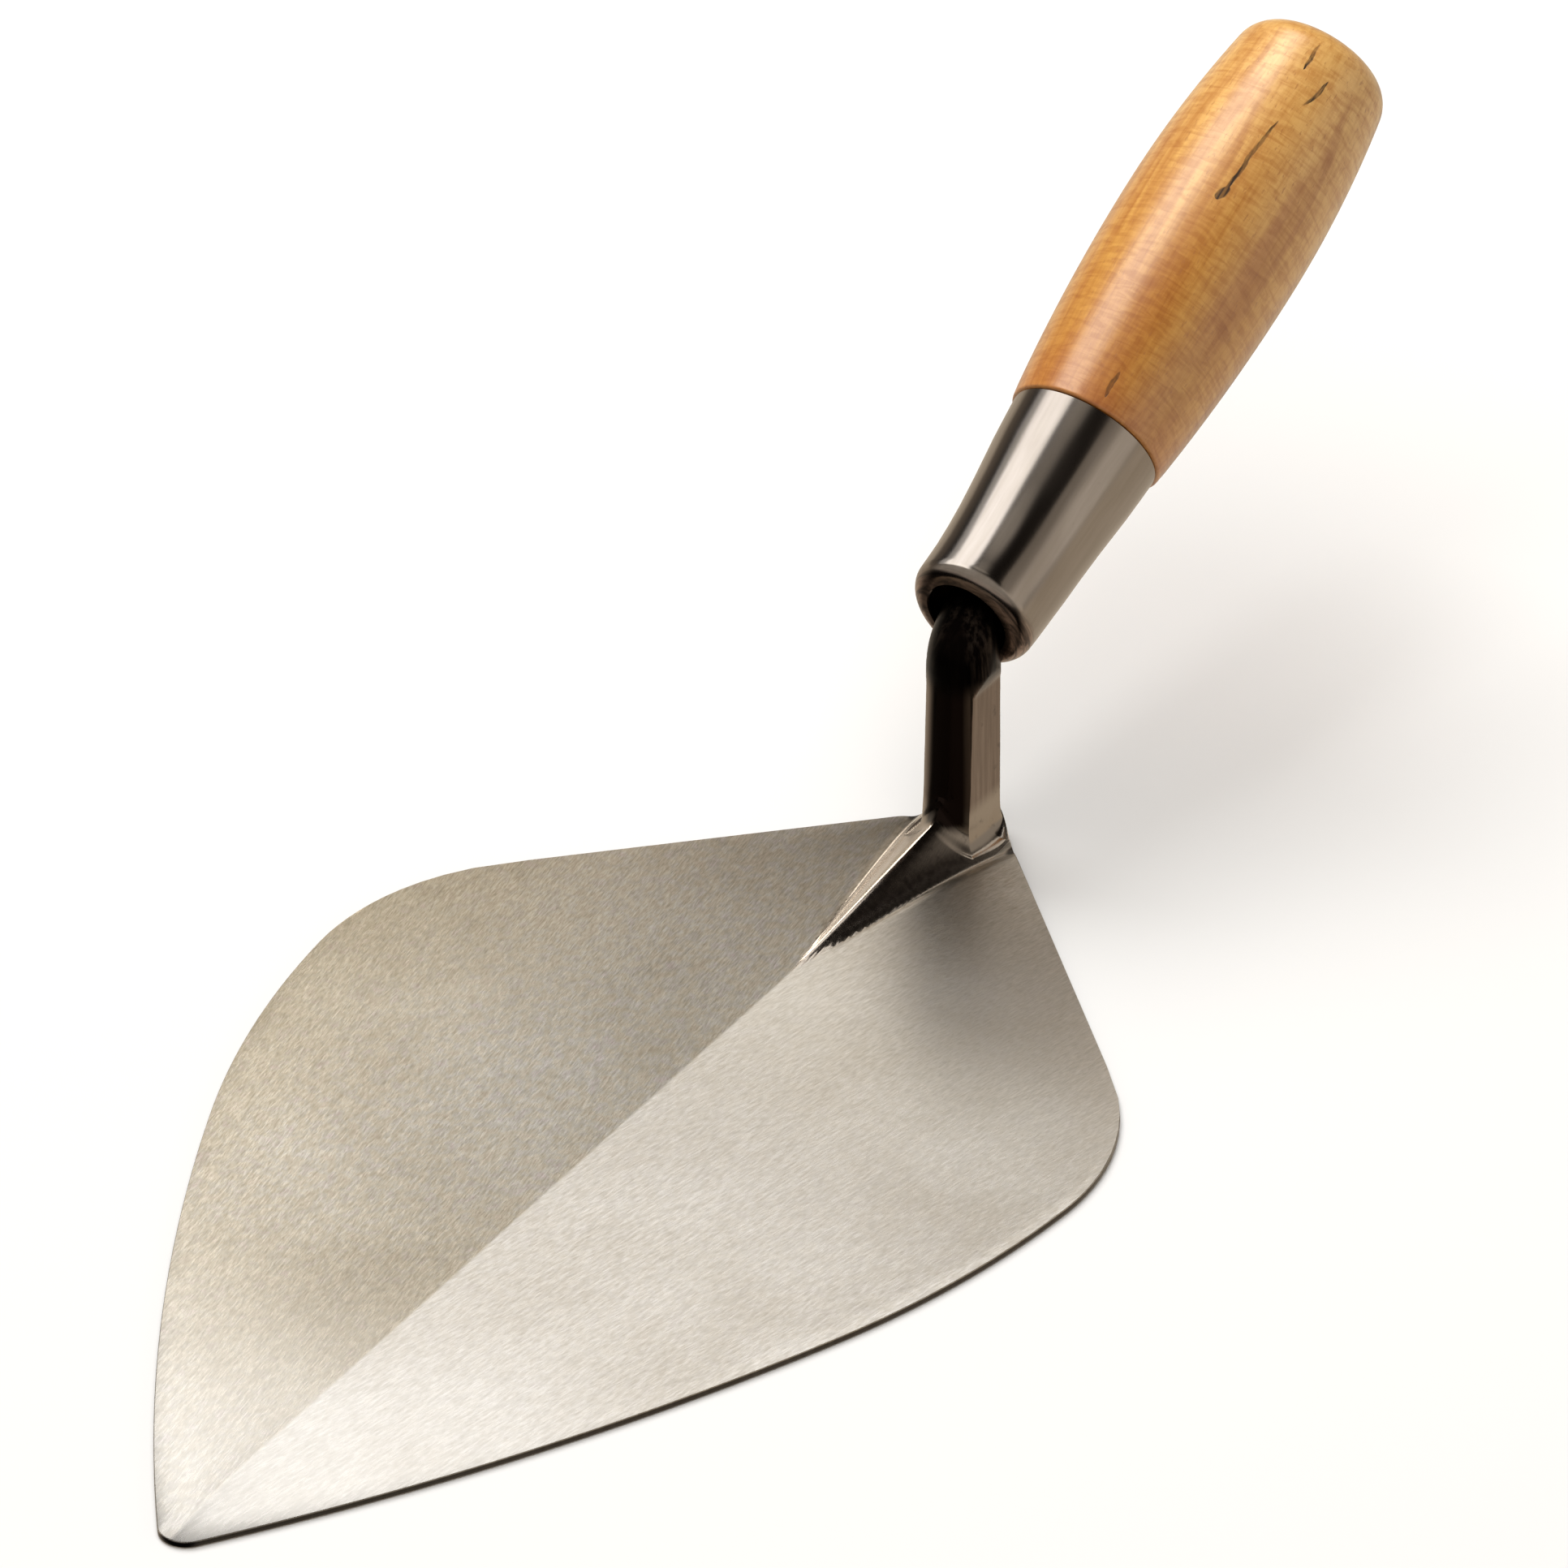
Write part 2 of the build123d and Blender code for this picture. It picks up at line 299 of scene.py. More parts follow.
def forging_rings(angles):
    """The whole forging as rings of points, from the tang's end down the shank, out over the blade's top
    to its edge, and back under it. Ring by ring, because the fillet has to run from a bar with flats into
    a hollow-ground face with a ridge on it, which extrudes and bevels can't blend."""
    rings = []
    foot, top = Vector((FOOT_X, 0, 0)), Vector((TOP_X, 0, TOP_Z))
    bend = grip_point(TANG_BEND_AHEAD)
    neck_lean = math.atan2(bend.z - top.z, top.x - bend.x)
    shank_lean = math.atan2(top.z - foot.z, foot.x - top.x)
    neck_way = (top - bend).normalized()
    down = (foot - top).normalized()

    # square tang, from its blunt end up to the bend inside the ferrule
    end = grip_point(-TANG_DEPTH)
    rings.append([end] * len(angles))
    for k in range(19):
        share = k / 18
        size = TANG_END_SQUARE + (TANG_SQUARE - TANG_END_SQUARE) * share
        roundness = 0.94 if share < 0.9 else 0.94 * (1 - share) / 0.1
        shrink = 0.75 if k == 0 else 1
        along = -TANG_DEPTH + (TANG_DEPTH + TANG_BEND_AHEAD - 3) * share
        rings.append(path_ring(grip_point(along), GRIP_ANGLE, size / 2 * shrink, roundness, angles))

    # neck, then the bend down into the shank
    cut = BEND_RADIUS * math.tan((shank_lean - neck_lean) / 2)
    neck_length = (top - bend).length
    for k in range(1, 13):
        share = k / 12
        size = NECK_START_RADIUS + (NECK_RADIUS - NECK_START_RADIUS) * share**0.7
        centre = bend + neck_way * ((neck_length - cut) * share)
        rings.append(path_ring(centre, neck_lean, size, 0, angles))
    elbow_start = top - neck_way * cut
    pivot = elbow_start - Vector((math.sin(neck_lean), 0, math.cos(neck_lean))) * BEND_RADIUS
    for k in range(1, 13):
        share = k / 12
        lean = neck_lean + (shank_lean - neck_lean) * share
        centre = pivot + Vector((math.sin(lean), 0, math.cos(lean))) * BEND_RADIUS
        size = NECK_RADIUS + (TOP_RADIUS - NECK_RADIUS) * share
        rings.append(path_ring(centre, lean, size, 0, angles, BEND_FLAT_HALF))

    # upright shank with its flats
    start = top + down * cut
    for k in range(1, SHANK_LEVELS + 1):
        z = start.z + (SHANK_LOW_Z - start.z) * k / SHANK_LEVELS
        centre = foot + (top - foot) * (z / TOP_Z)
        bar = FOOT_RADIUS + (TOP_RADIUS - FOOT_RADIUS) * z / TOP_Z
        flat = FLAT_HALF + max(z - FLAT_END_Z, 0) * (TOP_RADIUS - FLAT_HALF) / FLAT_RUNOUT
        rings.append(path_ring(centre, shank_lean, bar, 0, angles, flat))

    # fillet at the foot, and the blade's top out to its edge
    fans = []
    for angle in angles:
        ray = unit(angle)
        edge = edge_distance(min(angle, 2 * math.pi - angle))
        core = shank_radius(angle, FOOT_RADIUS, FLAT_HALF)
        fillet = min(FOOT_FILLET, 0.8 * (edge - core))
        fans.append((ray, edge, core, fillet))

    def spot(fan, reach, lift=0.0):
        ray, edge, core, fillet = fan
        x, y = FOOT_X + ray.x * reach, ray.y * reach
        return Vector((x, y, top_height(x, y) + lift))

    upright = rings[-1]
    lower = [spot(fan, fan[2] + fan[3]).z + 4.0 for fan in fans]
    for k in range(1, 7):
        share = k / 6
        ring = []
        for fan, point, z in zip(fans, upright, lower):
            x, y = FOOT_X + fan[0].x * fan[2], fan[0].y * fan[2]
            ring.append(point.lerp(Vector((x, y, z)), share))
        rings.append(ring)
    for k in range(1, FILLET_STEPS + 1):
        turn = math.pi / 2 * k / FILLET_STEPS
        ring = []
        for fan, z in zip(fans, lower):
            ray, edge, core, fillet = fan
            base = spot(fan, core + fillet)
            reach = core + fillet * (1 - math.cos(turn))
            height = base.z + (z - base.z) * (1 - math.sin(turn))
            ring.append(Vector((FOOT_X + ray.x * reach, ray.y * reach, height)))
        rings.append(ring)
    for k in range(1, FACE_ROWS + 1):
        share = (math.exp(FACE_SPREAD * k / FACE_ROWS) - 1) / (math.exp(FACE_SPREAD) - 1)
        ring = []
        for fan in fans:
            first = fan[2] + fan[3]
            last = fan[1] - EDGE_BREAK
            ring.append(spot(fan, first + (last - first) * share))
        rings.append(ring)

    # broken edge, wall and flat underside
    for inset, drop in ((0.09, 0.05), (0.0, EDGE_BREAK)):
        ring = []
        for fan in fans:
            top_point = spot(fan, fan[1] - EDGE_BREAK)
            ring.append(Vector((*(FOOT + fan[0] * (fan[1] - inset)), top_point.z - drop)))
        rings.append(ring)
    for inset, height in ((0.0, EDGE_BREAK * 0.8), (0.07, 0.06), (EDGE_BREAK, 0.0)):
        rings.append([Vector((*(FOOT + fan[0] * (fan[1] - inset)), height)) for fan in fans])
    for share in (0.985, 0.9, 0.75, 0.6, 0.45, 0.3, 0.15, 0.05, 0.0):
        rings.append([Vector((*(FOOT + fan[0] * (fan[1] * share)), 0)) for fan in fans])
    return rings


def forge_blade():
    angles = sweep_angles()
    rings = forging_rings(angles)
    deselect_all()
    bpy.ops.mesh.primitive_grid_add(x_subdivisions=len(angles) - 1, y_subdivisions=len(rings) - 1, size=1)
    piece = bpy.context.object
    vertices = piece.data.vertices
    for row, ring in enumerate(rings):
        for column, point in enumerate(ring):
            vertices[row * len(angles) + column].co = point * MM
    bpy.ops.object.mode_set(mode="EDIT")
    bpy.ops.mesh.select_all(action="SELECT")
    bpy.ops.mesh.remove_doubles(threshold=2e-6)
    bpy.ops.mesh.normals_make_consistent(inside=False)
    bpy.ops.object.mode_set(mode="OBJECT")
    settle(piece, "forged_blade")
    smooth(piece, 24)
    mark_finishes(piece.data)
    return piece


def mark_finishes(mesh):
    """Where the forging is scoured smooth (polish), where a highlight is painted along the ridge's border
    (border), and where a dark reflection is painted black on the bar (scale).
    """
    polish, border, scale = (mesh.attributes.new(name, "FLOAT", "POINT") for name in FINISHES)
    for index, vertex in enumerate(mesh.vertices):
        x, y, z = vertex.co / MM
        share = ridge_share(x, y)
        climbed = min(max((z - top_height(x, y) - 0.05) / 0.3, 0), 1)
        on_ridge = min(max((1.0 - share) / 0.1, 0), 1) if z > TOP_SIDE_Z else 0
        polish.data[index].value = max(climbed, on_ridge)
        # painted dark reflection: the bar's round front and back, off its flats and above 6 mm, are marked
        # in scale
        away = abs(math.degrees(math.atan2(y, abs(x - FOOT_X))) - 8)
        rounded = 1.0 if abs(y) < FLAT_HALF - 0.03 else 0.0
        black = min(max((48 - away) / 22, 0), 1) * min(max((z - 6) / 2, 0), 1)
        scale.data[index].value = climbed * rounded * black
        border.data[index].value = math.exp(-(((share - 1.06) / 0.07) ** 2)) if z > TOP_SIDE_Z else 0


# ---------------------------------------------------------------- turned pieces
def start_ring(radius, along, segments):
    deselect_all()
    bpy.ops.mesh.primitive_circle_add(vertices=segments, radius=radius * MM, location=(0, 0, along * MM))
    bpy.ops.object.transform_apply(location=True, rotation=True, scale=True)
    piece = bpy.context.object
    bpy.ops.object.mode_set(mode="EDIT")
    bpy.ops.mesh.select_all(action="SELECT")
    return piece


def next_ring(from_station, to_station):
    """Extrudes the selected ring along Z to the next station and sizes it."""
    (old_along, old_radius), (along, radius) = from_station, to_station
    step = (0, 0, (along - old_along) * MM)
    bpy.ops.mesh.extrude_region_move(TRANSFORM_OT_translate={"value": step})
    ratio = radius / old_radius
    bpy.ops.transform.resize(value=(ratio, ratio, ratio), center_override=(0, 0, along * MM))


def arc_stations(centre_along, centre_radius, size, first, last, steps):
    """Stations along a round, by the angle from the axis's direction."""
    stations = []
    for k in range(steps + 1):
        turn = math.radians(first + (last - first) * k / steps)
        stations.append((centre_along + size * math.cos(turn), centre_radius + size * math.sin(turn)))
    return stations


def turn_grip():
    stations = [(-NECK_LENGTH, 0.05), (-NECK_LENGTH, NECK_FRONT_RADIUS - 0.4)]
    stations += [(-NECK_LENGTH + 0.4, NECK_FRONT_RADIUS), (0.0, NECK_REAR_RADIUS)]
    stations += [(0.05, NECK_REAR_RADIUS + 0.3), (0.05, GRIP_FRONT_RADIUS - 0.65)]
    stations += arc_stations(0.6, GRIP_FRONT_RADIUS - 0.55, 0.55, 170, 95, 5)
    front_sag = (GRIP_FULL_RADIUS - GRIP_FRONT_RADIUS) / GRIP_FULL_AT**2
    rear_sag = (GRIP_FULL_RADIUS - GRIP_REAR_RADIUS) / (GRIP_REAR_AT - GRIP_FULL_AT) ** 2
    for k in range(1, 40):
        along = 0.8 + (GRIP_REAR_AT - 0.8) * k / 39
        sag = front_sag if along < GRIP_FULL_AT else rear_sag
        stations.append((along, GRIP_FULL_RADIUS - sag * (along - GRIP_FULL_AT) ** 2))
    last_slope = math.degrees(math.atan(2 * rear_sag * (GRIP_REAR_AT - GRIP_FULL_AT)))
    round_size = BUTT_AT - GRIP_REAR_AT
    rounded = arc_stations(GRIP_REAR_AT - 0.9, GRIP_REAR_RADIUS - 6.35, 6.4, 90 - last_slope, 4, 14)
    stations += rounded[1:]
    dome_rim, dome_radius = rounded[-1]
    for k in range(1, 8):
        share = 1 - k / 8
        stations.append((dome_rim + BUTT_DOME * (1 - share**2), dome_radius * share))
    piece = start_ring(stations[0][1], stations[0][0], 128)
    for before, after in zip(stations, stations[1:]):
        next_ring(before, after)
    bpy.ops.mesh.edge_face_add()
    bpy.ops.mesh.poke()
    bpy.ops.mesh.select_all(action="DESELECT")
    bpy.ops.mesh.select_non_manifold()
    bpy.ops.mesh.edge_face_add()
    bpy.ops.mesh.select_all(action="SELECT")
    bpy.ops.mesh.normals_make_consistent(inside=False)
    bpy.ops.object.mode_set(mode="OBJECT")
    piece.data.transform(grip_matrix())
    settle(piece, "turned_grip")
    smooth(piece, 40)
    return piece


def grip_matrix():
    """Turns +Z into the grip's axis and moves the origin to the wood's front shoulder."""
    turn = Matrix.Rotation(GRIP_ANGLE - math.pi / 2, 4, "Y")
    return Matrix.Translation(GRIP_START * MM) @ turn


def dip_of(ahead):
    """Turn and offset of the ferrule's axis past its straight stretch, in the grip's own frame."""
    bent = max(ahead - FERRULE_STRAIGHT, 0)
    turned = FERRULE_DIP * bent / (FERRULE_LENGTH - FERRULE_STRAIGHT)
    return turned, bent * math.sin(turned / 2), ahead - bent + bent * math.cos(turned / 2)


def spin_ferrule():
    outer = list(FERRULE_STATIONS)
    centre = FERRULE_LENGTH - LIP_ROUND
    outer += arc_stations(centre, FERRULE_FRONT_RADIUS - LIP_ROUND, LIP_ROUND, 88, 4, 14)
    inner_size = LIP_ROUND - FERRULE_WALL
    hole = [(FERRULE_LENGTH, FERRULE_HOLE_RADIUS + 0.25), (FERRULE_LENGTH - 0.25, FERRULE_HOLE_RADIUS)]
    hole += [(FERRULE_LENGTH - FERRULE_WALL + 0.2, FERRULE_HOLE_RADIUS)]
    hole += [(FERRULE_LENGTH - FERRULE_WALL, FERRULE_HOLE_RADIUS + 0.2)]
    inner = arc_stations(centre, FERRULE_FRONT_RADIUS - LIP_ROUND, inner_size, 8, 88, 7)
    inner += [(along, radius - FERRULE_WALL) for along, radius in reversed(FERRULE_STATIONS)]
    inner[-1] = (0.0, FERRULE_STATIONS[0][1] - FERRULE_WALL)
    stations = [(0.25, outer[0][1])] + outer[1:] + hole + inner
    stations += [(0.0, inner[-1][1] + 0.25), (0.0, outer[0][1] - 0.25), (0.25, outer[0][1])]
    piece = start_ring(stations[0][1], stations[0][0], 128)
    for before, after in zip(stations, stations[1:]):
        next_ring(before, after)
    bpy.ops.mesh.select_all(action="SELECT")
    bpy.ops.mesh.remove_doubles(threshold=2e-6)
    bpy.ops.mesh.normals_make_consistent(inside=False)
    bpy.ops.object.mode_set(mode="OBJECT")
    for vertex in piece.data.vertices:
        turned, offset, along = dip_of(vertex.co.z / MM)
        x = vertex.co.x
        vertex.co.z = -(along * MM - x * math.sin(turned))
        vertex.co.x = x * math.cos(turned) + offset * MM
    bpy.ops.object.mode_set(mode="EDIT")
    bpy.ops.mesh.select_all(action="SELECT")
    bpy.ops.mesh.normals_make_consistent(inside=False)
    bpy.ops.object.mode_set(mode="OBJECT")
    piece.data.transform(grip_matrix())
    settle(piece, "spun_ferrule")
    smooth(piece, 35)
    return piece


# ---------------------------------------------------------------- materials
def srgb(code, alpha=1.0):
    """Linear colour from an sRGB hex value."""
    parts = [int(code[k : k + 2], 16) / 255 for k in (1, 3, 5)]
    return [p / 12.92 if p <= 0.04045 else ((p + 0.055) / 1.055) ** 2.4 for p in parts] + [alpha]


def add_node(tree, kind, inputs=(), stops=(), **settings):
    """Adds a node with its settings. Its inputs come in order or by name, each a number, a colour as an
    sRGB hex value, a socket, or a node that gives its first result. Stops are a colour ramp's."""
    made = tree.nodes.new("ShaderNode" + kind)
    for key, value in settings.items():
        setattr(made, key, value)
    for index, (position, code) in enumerate(stops):
        elements = made.color_ramp.elements
        stop = elements[index] if index < len(elements) else elements.new(position)
        stop.position, stop.color = position, srgb(code)
    ordered = [socket for socket in made.inputs if socket.enabled]
    for key, value in inputs.items() if isinstance(inputs, dict) else enumerate(inputs):
        socket = made.inputs[key] if isinstance(key, str) else ordered[key]
        if isinstance(value, bpy.types.Node):
            value = next(result for result in value.outputs if result.enabled)
        if isinstance(value, bpy.types.NodeSocket):
            tree.links.new(value, socket)
        else:
            socket.default_value = srgb(value) if isinstance(value, str) else value
    return made


SOFT = {"interpolation_type": "SMOOTHSTEP"}
COLOUR = {"data_type": "RGBA"}
SHADE = {"data_type": "RGBA", "blend_type": "MULTIPLY"}


def new_material(name):
    made = bpy.data.materials.new(name)
    made.use_nodes = True
    made.node_tree.nodes.clear()
    return made, made.node_tree


# Grinding streaks of the blade's two faces: turn from the crease in degrees, length and width in metres.
# A Noise scale of NOISE_SCALE makes one patch of noise about two lengths long and two widths wide.
NOISE_SCALE = 0.55
LEFT_STREAKS = (6, 0.0017, 0.00026)
RIGHT_STREAKS = (-9, 0.0019, 0.00028)
FINE_LEFT_STREAKS = (9, 0.0009, 0.00014)
FINE_RIGHT_STREAKS = (-13, 0.0009, 0.00014)
STREAK_DEPTH = 0.002
FINE_LIFT = 0.3
# Mottle of about 2.4 mm and clouds of about 38 mm, as noise scales per metre
MOTTLE = 420.0
CLOUDS = 26.0
# Drawing lines on the shank: 0.6 mm across and 12 mm long
BAR_LINES = (0.0006, 0.0006, 0.012)


def forged_steel():
    """Carbon steel, drop forged and ground. The two faces keep short grinding streaks and a matt grey with
    tan and lilac in it; shank and ridge are scoured smooth, darker and glossier. Painted dark reflection
    blackens the bar's round front and back, its bend and the blade's edge wall; painted shade darkens the
    left face along the crease; painted light brightens the tip and the right face's heel; and a highlight
    is painted along the ridge's border."""
    made, tree = new_material("ground_forged_carbon_steel")
    place = add_node(tree, "TexCoord").outputs["Object"]
    parts = add_node(tree, "SeparateXYZ", (place,))
    x, y, z = (parts.outputs[axis] for axis in "XYZ")
    # 0 on the left face, 1 on the right one
    side = add_node(tree, "MapRange", (y, -0.0004, 0.0004, 0.0, 1.0), **SOFT)
    left_side = add_node(tree, "Math", (1.0, side), operation="SUBTRACT")

    # grinding streaks, fanned away from the crease on either side
    streaks = []
    for (turn, length, width), detail, lift in (
        (LEFT_STREAKS, 3.0, 0.0),
        (RIGHT_STREAKS, 3.0, 0.0),
        (FINE_LEFT_STREAKS, 2.0, FINE_LIFT),
        (FINE_RIGHT_STREAKS, 2.0, FINE_LIFT),
    ):
        size = (length, width, STREAK_DEPTH)
        turned = (0, 0, math.radians(turn))
        stretch = {"Vector": place, "Location": (0, 0, lift), "Rotation": turned, "Scale": size}
        drawn = add_node(tree, "Mapping", stretch, vector_type="TEXTURE")
        noise = {"Vector": drawn, "Scale": NOISE_SCALE, "Detail": detail, "Roughness": 0.62}
        streaks.append(add_node(tree, "TexNoise", noise))
    left, right, fine_left, fine_right = streaks
    coarse = add_node(tree, "Mix", (side, left, right), **COLOUR)
    fine = add_node(tree, "Mix", (side, fine_left, fine_right), **COLOUR)
    noise = {"Vector": place, "Scale": MOTTLE, "Detail": 4.0, "Roughness": 0.6}
    mottle = add_node(tree, "TexNoise", noise)
    noise = {"Vector": place, "Scale": CLOUDS, "Detail": 4.0, "Roughness": 0.5}
    clouds = add_node(tree, "TexNoise", noise)

    # the ground faces: mottled on the left, plainer on the right, where painted light makes the face
    # lighter towards the heel
    stops = ((0.3, "#ccc3b8"), (0.45, "#d0cabf"), (0.56, "#cbc9c5"), (0.72, "#d0c8ca"))
    tint = add_node(tree, "ValToRGB", (mottle,), stops)
    from_heel = add_node(tree, "MapRange", (x, 0.04, 0.12, 0.0, 1.0), **SOFT)
    right_face_heel_light = add_node(tree, "Mix", (from_heel, "#dcd7ce", "#bab5ae"), **COLOUR)
    right_share = add_node(tree, "Math", (side, 0.85), operation="MULTIPLY")
    ground = add_node(tree, "Mix", (right_share, tint, right_face_heel_light), **COLOUR)
    strength = add_node(tree, "MapRange", (side, 0.0, 1.0, 0.8, 0.5), **SOFT)
    for share, pattern, stops in (
        (strength, coarse, ((0.3, "#cfcbc3"), (0.48, "#e6e4e0"), (0.7, "#ffffff"))),
        (strength, fine, ((0.32, "#d2cec6"), (0.6, "#ffffff"))),
        (0.7, clouds, ((0.36, "#eeebe6"), (0.62, "#ffffff"))),
    ):
        tone = add_node(tree, "ValToRGB", (pattern,), stops)
        ground = add_node(tree, "Mix", (share, ground, tone), **SHADE)

    # the heel darker and browner
    heel = add_node(tree, "MapRange", (x, 0.1, 0.0, 0.0, 0.5), **SOFT)
    ground = add_node(tree, "Mix", (heel, ground, "#d6cdc6"), **SHADE)

    # painted shade: the left face a little darker, most of all along the crease, as it tilts away from the
    # light
    near_crease = add_node(tree, "MapRange", (y, -0.062, -0.004, 0.25, 1.0), **SOFT)
    left_face_shade = add_node(tree, "Math", (near_crease, left_side), operation="MULTIPLY")
    behind_tip = add_node(tree, "MapRange", (x, 0.18, 0.26, 1.0, 0.15), **SOFT)
    left_face_shade = add_node(tree, "Math", (left_face_shade, behind_tip), operation="MULTIPLY")
    ground = add_node(tree, "Mix", (left_face_shade, ground, "#d8d6d2"), **SHADE)

    # the forge's tan warmth, stronger towards the long left edge
    edgewards = add_node(tree, "MapRange", (y, -0.015, -0.085, 0.0, 1.0), **SOFT)
    tipwards = add_node(tree, "MapRange", (x, 0.1, 0.23, 0.0, 1.0), **SOFT)
    tipwards = add_node(tree, "Math", (left_side, tipwards), operation="MULTIPLY")
    warm = add_node(tree, "Math", (edgewards, tipwards), operation="MAXIMUM")
    short_of_tip = add_node(tree, "MapRange", (x, 0.19, 0.25, 1.0, 0.4), **SOFT)
    warm = add_node(tree, "Math", (warm, short_of_tip), operation="MULTIPLY")
    patchy = add_node(tree, "MapRange", (mottle, 0.3, 0.6, 0.35, 0.8), **SOFT)
    warm = add_node(tree, "Math", (warm, patchy), operation="MULTIPLY")
    ground = add_node(tree, "Mix", (warm, ground, "#f3e8cf"), **SHADE)

    # painted light: the tip brightest, where the steel mirrors the most light
    tip = add_node(tree, "MapRange", (x, 0.16, 0.262, 0.0, 0.5), **SOFT)
    ground = add_node(tree, "Mix", (tip, ground, "#dbd8d3"), **COLOUR)

    # scoured shank and ridge, with lengthwise drawing lines and dark specks
    upright = add_node(tree, "Mapping", {"Vector": place, "Scale": BAR_LINES}, vector_type="TEXTURE")
    noise = {"Vector": upright, "Scale": 0.6, "Detail": 4.0, "Roughness": 0.6}
    lines = add_node(tree, "TexNoise", noise)
    bar = add_node(tree, "ValToRGB", (lines,), ((0.3, "#75665b"), (0.5, "#837469"), (0.72, "#95867b")))
    upright_share = add_node(tree, "MapRange", (z, 0.0085, 0.0125, 0.0, 1.0), **SOFT)
    bar = add_node(tree, "Mix", (upright_share, "#aa9f93", bar), **COLOUR)
    specks = add_node(tree, "MapRange", (mottle, 0.58, 0.74, 0.0, 1.0), **SOFT)
    specks = add_node(tree, "Math", (specks, 0.35), operation="MULTIPLY")
    bar = add_node(tree, "Mix", (specks, bar, "#2a2220"), **COLOUR)

    # painted dark reflection: black on the bar's round front and back and up in the bend, where the steel
    # mirrors the dark room
    painted_bend_black = add_node(tree, "MapRange", (z, 0.0335, 0.0385, 0.0, 1.0), **SOFT)
    bend_black_streaks = add_node(tree, "MapRange", (lines, 0.25, 0.6, 0.75, 1.0), **SOFT)
    scale = add_node(tree, "Math", (painted_bend_black, bend_black_streaks), operation="MULTIPLY")
    # scale holds the painted dark reflection on the bar's round front and back
    painted_front_black = add_node(tree, "Attribute", attribute_name="scale").outputs["Fac"]
    bar = add_node(tree, "Mix", (painted_front_black, bar, "#241c19"), **COLOUR)
    bar = add_node(tree, "Mix", (scale, bar, "#0e0a09"), **COLOUR)

    # painted dark reflection: the blade's edge wall is dark; a painted highlight runs along the line where
    # ridge and faces meet
    polish = add_node(tree, "Attribute", attribute_name="polish").outputs["Fac"]
    border = add_node(tree, "Attribute", attribute_name="border").outputs["Fac"]
    colour = add_node(tree, "Mix", (polish, ground, bar), **COLOUR)
    under_edge = add_node(tree, "MapRange", (z, 0.00112, 0.00092, 0.0, 1.0), **SOFT)
    above_base = add_node(tree, "MapRange", (z, 0.0, 0.0001, 0.0, 1.0), **SOFT)
    edge_wall_dark_reflection = add_node(tree, "Math", (under_edge, above_base), operation="MULTIPLY")
    edge_wall_dark_reflection = add_node(tree, "Math", (edge_wall_dark_reflection, 0.85), operation="MULTIPLY")
    colour = add_node(tree, "Mix", (edge_wall_dark_reflection, colour, "#1d1a1b"), **COLOUR)
    # painted highlight along the ridge's border line, uneven with the mottle
    uneven = add_node(tree, "MapRange", (mottle, 0.3, 0.6, 0.35, 1.0), **SOFT)
    border_highlight = add_node(tree, "Math", (border, uneven), operation="MULTIPLY")
    border_highlight = add_node(tree, "Math", (border_highlight, 0.55), operation="MULTIPLY")
    colour = add_node(tree, "Mix", (border_highlight, colour, "#c9b9a4"), **COLOUR)

    # satin faces, rougher at the heel; a glossier bar, rougher again under the painted black in the bend
    rough_face = add_node(tree, "MapRange", (coarse, 0.3, 0.7, 0.31, 0.26), **SOFT)
    rough_heel = add_node(tree, "MapRange", (x, 0.09, 0.03, 0.0, 0.07), **SOFT)
    rough_face = add_node(tree, "Math", (rough_face, rough_heel), operation="ADD")
    rough_bar = add_node(tree, "MapRange", (lines, 0.3, 0.7, 0.21, 0.16), **SOFT)
    rough_bend_black = add_node(tree, "Math", (scale, 0.2), operation="MULTIPLY")
    rough_bar = add_node(tree, "Math", (rough_bar, rough_bend_black), operation="ADD")
    rough = add_node(tree, "Mix", (polish, rough_face, rough_bar), data_type="FLOAT")

    # relief of the streaks, 0.05 mm deep, and of the finer ones, 0.04 mm deep
    along_bar = add_node(tree, "Mix", (upright_share, fine_left, lines), **COLOUR)
    relief = add_node(tree, "Mix", (polish, coarse, along_bar), **COLOUR)
    streaked = add_node(tree, "Bump", {"Strength": 0.1, "Distance": 0.00005, "Height": relief})
    fine_relief = {"Strength": 0.08, "Distance": 0.00004, "Height": fine, "Normal": streaked}
    grain = add_node(tree, "Bump", fine_relief)
    steel = {"Base Color": colour, "Metallic": 1.0, "Roughness": rough, "Normal": grain}
    add_node(tree, "OutputMaterial", (add_node(tree, "BsdfPrincipled", steel),))
    return made


def grip_noises(tree, patterns):
    """The place in millimetres along the grip, with Z running backwards from the wood's front edge, and
    a noise for each pattern: its size along each of the grip's axes, detail, roughness and distortion."""
    turn = (0, GRIP_ANGLE - math.pi / 2, 0)
    place = add_node(tree, "TexCoord").outputs["Object"]
    along_grip = {"Vector": place, "Location": GRIP_START * MM, "Rotation": turn, "Scale": (MM, MM, MM)}
    place = add_node(tree, "Mapping", along_grip, vector_type="TEXTURE")
    noises = []
    for size, detail, rough, distortion in patterns:
        drawn = add_node(tree, "Mapping", {"Vector": place, "Scale": size}, vector_type="TEXTURE")
        noise = {"Vector": drawn, "Scale": 0.6, "Detail": detail, "Roughness": rough}
        noises.append(add_node(tree, "TexNoise", {**noise, "Distortion": distortion}))
    return place, noises


